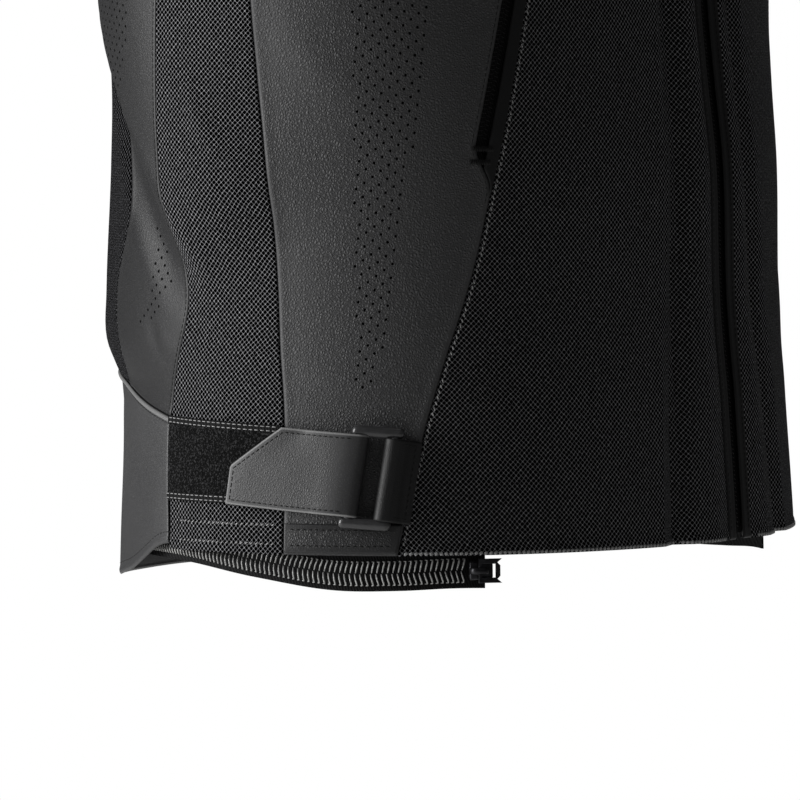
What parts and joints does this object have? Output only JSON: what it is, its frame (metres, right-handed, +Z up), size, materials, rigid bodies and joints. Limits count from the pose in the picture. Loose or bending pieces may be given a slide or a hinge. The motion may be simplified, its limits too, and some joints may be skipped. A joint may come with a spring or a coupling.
{
  "type": "motorcycle jacket",
  "caption": "Short motorcycle jacket of leather and mesh panels in its worn, hollow form, with waist adjusters, zips, stand collar and bent sleeves.",
  "frame": {"origin": "between the wearer's shoulders, 560 mm over the hem at the side, where the wearer holds it up", "axes": "+Z up along the wearer's back, -Y the way the wearer faces, -X to the wearer's right"},
  "size_m": [1.1722, 0.6397, 0.711],
  "materials": {
    "grained_leather": "semi-matt black cowhide with a fine pebble grain",
    "smooth_leather": "semi-matt black, nearly smooth",
    "mesh_fabric": "coarse black polyester air mesh",
    "hook_and_loop": "matt black loop pile",
    "zip_tape": "matt black woven tape with a coil chain",
    "black_metal": "semi-gloss black"
  },
  "bodies": {
    "root": {"adjuster_tab_R": "grained_leather", "adjuster_tab_L": "grained_leather", "anchor_loop_R": "grained_leather", "anchor_loop_L": "grained_leather", "front_edge_R": "grained_leather", "front_edge_L": "grained_leather", "front_leather_R": "grained_leather", "front_leather_L": "grained_leather", "back_leather_R": "grained_leather", "back_leather_L": "grained_leather", "back_yoke": "grained_leather", "front_yoke_R": "grained_leather", "front_yoke_L": "grained_leather", "collar": "grained_leather", "sleeve_upper_R": "grained_leather", "sleeve_upper_L": "grained_leather", "sleeve_under_R": "grained_leather", "sleeve_under_L": "grained_leather", "hem_facing_R": "grained_leather", "hem_facing_L": "grained_leather", "pocket_welt_R": "grained_leather", "pocket_welt_L": "grained_leather", "back_belt": "smooth_leather", "front_mesh_R": "mesh_fabric", "front_mesh_L": "mesh_fabric", "side_mesh_R": "mesh_fabric", "side_mesh_L": "mesh_fabric", "back_mesh": "mesh_fabric", "hook_strip_R": "hook_and_loop", "hook_strip_L": "hook_and_loop", "front_zip": "zip_tape", "pocket_zip_R": "zip_tape", "pocket_zip_L": "zip_tape", "connection_zip": "zip_tape", "ring_R": "black_metal", "ring_L": "black_metal", "front_zip_slider": "black_metal", "pocket_R_slider": "black_metal", "pocket_L_slider": "black_metal", "connection_slider": "black_metal"},
    "front_zip_pull": {"front_zip_pull": "black_metal"},
    "pocket_R_pull": {"pocket_R_pull": "black_metal"},
    "pocket_L_pull": {"pocket_L_pull": "black_metal"},
    "connection_pull": {"connection_pull": "black_metal"}
  },
  "joints": [
    {"name": "front_zip_pull_swing", "type": "hinge", "parent": "root", "child": "front_zip_pull", "pos_m": [0, -0.06207, 0.03977], "axis": [-1, 0, 0], "range_deg": [0, 150]},
    {"name": "pocket_R_pull_swing", "type": "hinge", "parent": "root", "child": "pocket_R_pull", "pos_m": [-0.12761, -0.11257, -0.23493], "axis": [-0.903, 0.3825, 0.1958], "range_deg": [0, 150]},
    {"name": "pocket_L_pull_swing", "type": "hinge", "parent": "root", "child": "pocket_L_pull", "pos_m": [0.12761, -0.11257, -0.23493], "axis": [-0.903, -0.3825, -0.1958], "range_deg": [0, 150]},
    {"name": "connection_pull_swing", "type": "hinge", "parent": "root", "child": "connection_pull", "pos_m": [-0.15804, -0.09506, -0.56708], "axis": [-0.0269, -0.0268, -0.9993], "range_deg": [0, 150]}
  ]
}
